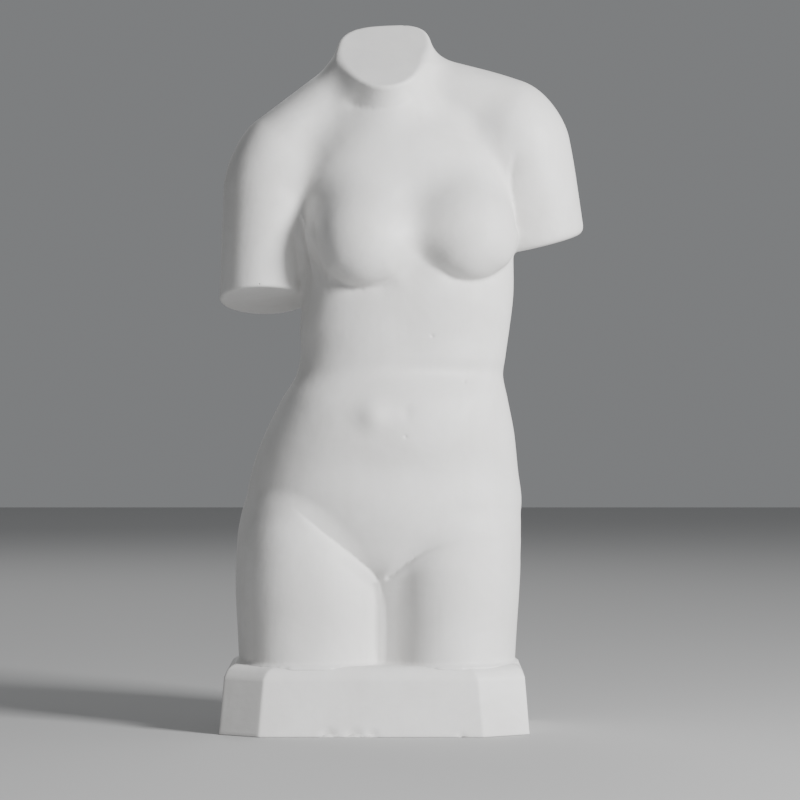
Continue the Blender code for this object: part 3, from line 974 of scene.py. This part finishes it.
    def cut_faces(self, centres: np.ndarray, normals: np.ndarray) -> np.ndarray:
        """Find the faces that lie in a cut.

        Args:
            centres: The faces' centres, in parts.
            normals: The faces' normals.

        Returns:
            Whether each face is part of a cut face.
        """
        found = np.zeros(len(centres), bool)
        for cut in (self.neck_cut, *(arm.cut for arm in self.arms)):
            unit = np.array(cut.normal, float) / np.linalg.norm(cut.normal)
            found |= (np.abs(cut.at(centres)) < self.cut_reach) & (normals @ unit > self.cut_facing)
        return found

    def build(self, finishes: tuple[bpy.types.Material, ...]) -> bpy.types.Object:
        """Build the figure.

        Args:
            finishes: The materials of the skin and of the cut faces.

        Returns:
            The figure's object.
        """
        points, faces = self.netting.mesh(self.body)
        mesh = bpy.data.meshes.new("torso")
        mesh.from_pydata(points.tolist(), [], faces.tolist())
        mesh.update()
        points = self._refined(mesh)
        scale = np.array((self.widening, 1.0, 1.0)) * self.part
        mesh.vertices.foreach_set("co", (points * scale + np.array((0.0, 0.0, self.foot))).ravel())
        mesh.update()
        for material in finishes:
            mesh.materials.append(material)
        centres = np.zeros(len(mesh.polygons) * 3)
        normals = np.zeros(len(mesh.polygons) * 3)
        mesh.polygons.foreach_get("center", centres)
        mesh.polygons.foreach_get("normal", normals)
        centres = (centres.reshape(-1, 3) - np.array((0.0, 0.0, self.foot))) / scale
        cut = self.cut_faces(centres, normals.reshape(-1, 3))
        mesh.polygons.foreach_set("material_index", cut.astype(np.int32))
        mesh.shade_smooth()
        return new_object("torso", mesh)

    def _refined(self, mesh: bpy.types.Mesh) -> np.ndarray:
        """Split the faces where the form is fine and settle the mesh again.

        Args:
            mesh: The figure's mesh, in parts, which is changed.

        Returns:
            The places of its points.
        """
        form = bmesh.new()
        form.from_mesh(mesh)
        centres = np.array([face.calc_center_median() for face in form.faces])
        chosen = self.fine(centres)
        edges = {edge for face, fine in zip(form.faces, chosen) if fine for edge in face.edges}
        bmesh.ops.subdivide_edges(form, edges=list(edges), cuts=1, use_grid_fill=True)
        form.to_mesh(mesh)
        form.free()
        points = np.zeros(len(mesh.vertices) * 3)
        mesh.vertices.foreach_get("co", points)
        points = points.reshape(-1, 3)
        near = self.fine(points)
        points[near] = self.netting.settled(self.body, points[near])
        return points


@dataclass(frozen=True)
class Chip:
    """A small chip out of the plinth: its middle, its size and how deep it goes, in metres."""

    place: Triple
    size: float
    depth: float


@dataclass
class Plinth:
    """The low block under the figure, with chamfered corners and a rounded top edge."""

    height: float
    half_width: float = 0.1302
    top_depth: float = 0.163
    spread: float = 0.0050
    left_chamfer: float = 0.034
    right_chamfer: float = 0.0395
    chamfer_depth: float = 0.023
    back_chamfer: float = 0.028
    corner_round: float = 0.0016
    top_round: float = 0.0100
    foot_round: float = 0.0009
    foot_steps: int = 3
    step: float = 0.0024
    round_steps: int = 6
    inner_rings: int = 14
    sway: float = 0.00018
    raggedness: float = 0.25
    chips: tuple[Chip, ...] = (
        Chip((-0.038, -0.0855, 0.001), 0.006, 0.0016),
        Chip((-0.017, -0.0855, 0.000), 0.007, 0.0015),
        Chip((-0.002, -0.0855, 0.001), 0.005, 0.0012),
        Chip((0.072, -0.0855, 0.000), 0.004, 0.0010),
        Chip((-0.127, -0.0500, 0.002), 0.005, 0.0012),
        Chip((0.127, 0.0300, 0.001), 0.006, 0.0014),
        Chip((-0.0900, 0.0850, 0.001), 0.005, 0.0012),
        Chip((0.0600, 0.0850, 0.056), 0.004, 0.0008),
        Chip((-0.1045, -0.0795, 0.034), 0.0028, 0.0009),
    )

    def corners(self, inset: float) -> list[Vector]:
        """Return the eight corners of the outline, drawn in by the inset."""
        width = self.half_width - inset
        depth = self.depth / 2.0 - inset
        corners = []
        for side, chamfer in ((1.0, self.right_chamfer), (-1.0, self.left_chamfer)):
            run = [
                Vector((side * (width - chamfer), -depth)),
                Vector((side * width, -depth + self.chamfer_depth)),
                Vector((side * width, depth - self.back_chamfer)),
                Vector((side * (width - self.back_chamfer), depth)),
            ]
            corners.extend(run if side > 0.0 else reversed(run))
        return corners

    @property
    def depth(self) -> float:
        """Return the plinth's depth at its foot."""
        return self.top_depth + 2.0 * self.spread

    def outline(self, inset: float) -> list[Vector]:
        """Return the outline's points, with rounded corners and about equal steps.

        Args:
            inset: How far the outline is drawn in from the plinth's foot.

        Returns:
            The points, anticlockwise seen from above, as many for every inset.
        """
        corners = self.corners(inset)
        full = self.corners(0.0)
        points = []
        for index, corner in enumerate(corners):
            before = corners[index - 1]
            after = corners[(index + 1) % len(corners)]
            arriving = (corner - before).normalized()
            leaving = (after - corner).normalized()
            start = corner - arriving * self.corner_round
            end = corner + leaving * self.corner_round
            for share in (0.0, 0.25, 0.5, 0.75, 1.0):
                first = start.lerp(corner, share)
                second = corner.lerp(end, share)
                points.append(first.lerp(second, share))
            run = (full[(index + 1) % len(full)] - full[index]).length
            count = max(2, int(run / self.step))
            goal = after - leaving * self.corner_round
            points.extend(end.lerp(goal, number / count) for number in range(1, count))
        return points

    def profile(self) -> list[tuple[float, float]]:
        """Return the side's profile as (inset, height) from the foot up and in across the top."""
        rows = []
        for number in range(self.foot_steps + 1):
            turn = math.radians(90.0 * number / self.foot_steps)
            rows.append((self.foot_round * (1.0 - math.sin(turn)), self.foot_round * (1.0 - math.cos(turn))))
        straight = self.height - self.top_round - self.foot_round
        count = int(straight / self.step)
        for number in range(1, count + 1):
            height = self.foot_round + straight * number / count
            rows.append((self.spread * height / self.height, height))
        for number in range(1, self.round_steps + 1):
            turn = math.radians(90.0 * number / self.round_steps)
            inset = self.spread + self.top_round * (1.0 - math.cos(turn))
            rows.append((inset, self.height - self.top_round * (1.0 - math.sin(turn))))
        return rows

    def build(self, finish: bpy.types.Material) -> bpy.types.Object:
        """Build the plinth.

        Args:
            finish: The plinth's material.

        Returns:
            The plinth's object.
        """
        form = bmesh.new()
        rings = []
        for inset, height in self.profile():
            rings.append([form.verts.new((point.x, point.y, height)) for point in self.outline(inset)])
        top = rings[-1]
        for number in range(1, self.inner_rings):
            share = 1.0 - number / self.inner_rings
            rings.append([form.verts.new((vert.co.x * share, vert.co.y * share, self.height)) for vert in top])
        for lower, upper in zip(rings, rings[1:]):
            for index, vert in enumerate(lower):
                after = (index + 1) % len(lower)
                form.faces.new((vert, lower[after], upper[after], upper[index]))
        form.faces.new(rings[-1])
        form.faces.new(list(reversed(rings[0])))
        bmesh.ops.recalc_face_normals(form, faces=form.faces)
        self._wear(form)
        mesh = bpy.data.meshes.new("plinth")
        form.to_mesh(mesh)
        form.free()
        mesh.materials.append(finish)
        mesh.shade_smooth()
        return new_object("plinth", mesh)

    def _wear(self, form: bmesh.types.BMesh) -> None:
        """Make the sides a little uneven and knock the chips out of the edges.

        Args:
            form: The plinth's mesh, which is changed.
        """
        form.normal_update()
        normals = {vert: vert.normal.copy() for vert in form.verts}
        for vert, normal in normals.items():
            x, y, z = vert.co
            slow = math.sin(31.0 * x + 17.0 * z) * math.sin(43.0 * y + 1.3)
            quick = 0.6 * math.sin(71.0 * x - 53.0 * z + 29.0 * y)
            inwards = self.sway * (1.0 + (slow + quick))
            for chip in self.chips:
                gap = (vert.co - Vector(chip.place)).length
                ragged = self.raggedness * math.sin(2100.0 * x + 900.0 * z) * math.cos(1500.0 * y)
                inwards += chip.depth * (1.0 + ragged) * math.exp(-((gap / chip.size) ** 4))
            if z > TINY:
                vert.co -= normal * inwards


@dataclass
class Studio:
    """The pale floor, the soft light and the camera at the photograph's viewing angle."""

    floor_size: float = 9.0
    distance: float = 3.3
    elevation: float = 0.8
    target: Triple = (0.0214, 0.0, 0.2790)
    view_height: float = 0.681
    sensor: float = 36.0
    floor_tone: Triple = (0.44, 0.44, 0.44)
    floor_roughness: float = 0.85
    air_tone: Triple = (0.86, 0.88, 0.90)
    air_strength: float = 0.24

    def build(self) -> None:
        """Build the floor, the lights, the surroundings and the camera."""
        self._floor()
        self._lights()
        self._surroundings()
        self._camera()

    def _floor(self) -> None:
        """Add a plain pale floor."""
        form = bmesh.new()
        bmesh.ops.create_grid(form, x_segments=1, y_segments=1, size=self.floor_size / 2.0)
        mesh = bpy.data.meshes.new("floor")
        form.to_mesh(mesh)
        form.free()
        floor = new_object("floor", mesh)
        material = bpy.data.materials.new("pale floor")
        material.use_nodes = True
        shader = material.node_tree.nodes["Principled BSDF"]
        shader.inputs["Base Color"].default_value = (*self.floor_tone, 1.0)
        shader.inputs["Roughness"].default_value = self.floor_roughness
        mesh.materials.append(material)

    def _light(self, name: str, place: Triple, power: float, size: float) -> None:
        """Add an area light that points at the cast.

        Args:
            name: The light's name.
            place: Where it stands, in metres.
            power: Its power in watts.
            size: The side of its square, in metres.
        """
        lamp = bpy.data.lights.new(name, "AREA")
        lamp.energy = power
        lamp.size = size
        item = bpy.data.objects.new(name, lamp)
        bpy.context.scene.collection.objects.link(item)
        item.location = place
        item.rotation_euler = (Vector(self.target) - Vector(place)).to_track_quat("-Z", "Y").to_euler()

    def _lights(self) -> None:
        """Add the key light, low on the right, and a soft light from behind."""
        self._light("key light", (1.90, -1.70, 1.20), 150.0, 0.7)
        self._light("back light", (-0.6, 2.2, 1.9), 14.0, 1.2)

    def _surroundings(self) -> None:
        """Fill the room with a low grey light."""
        world = bpy.data.worlds.new("studio")
        world.use_nodes = True
        background = world.node_tree.nodes["Background"]
        background.inputs["Color"].default_value = (*self.air_tone, 1.0)
        background.inputs["Strength"].default_value = self.air_strength
        bpy.context.scene.world = world

    def _camera(self) -> None:
        """Add the camera, in front of the cast and a little above its middle."""
        lens = bpy.data.cameras.new("camera")
        lens.sensor_width = self.sensor
        lens.lens = self.sensor * self.distance / self.view_height
        camera = bpy.data.objects.new("camera", lens)
        bpy.context.scene.collection.objects.link(camera)
        rise = math.radians(self.elevation)
        back = Vector((0.0, -math.cos(rise), math.sin(rise)))
        camera.location = Vector(self.target) + back * self.distance
        camera.rotation_euler = (-back).to_track_quat("-Z", "Y").to_euler()
        bpy.context.scene.camera = camera


def dressed(piece: bpy.types.Object) -> None:
    """Make a piece ride on the cast's body, stand for its solid and report it.

    Args:
        piece: The piece.
    """
    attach(piece, "root")
    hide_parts(NODE)
    LOG.info("%s: %d faces", piece.name, len(piece.data.polygons))


def main() -> None:
    """Load the frame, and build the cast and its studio."""
    logging.basicConfig(level=logging.INFO, format="%(name)s: %(message)s")
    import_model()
    low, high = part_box(NODE)
    height = high.z - low.z
    plinth_height = height * PLINTH_SHARE
    effects = PlasterEffects()
    skin = PlasterFinish("plaster skin").material(effects)
    cut = PlasterFinish("cut plaster", streaks=0.2, tooth=1.8, rubbing=0.3).material(effects)
    block = PlasterFinish("plinth plaster", streaks=0.3, tooth=1.4, holes=1.6).material(effects)
    figure = Figure(part=(height - plinth_height) / PARTS_IN_HEIGHT, foot=plinth_height)
    dressed(figure.build((skin, cut)))
    dressed(Plinth(plinth_height).build(block))
    Studio().build()


if __name__ == "__main__":
    main()
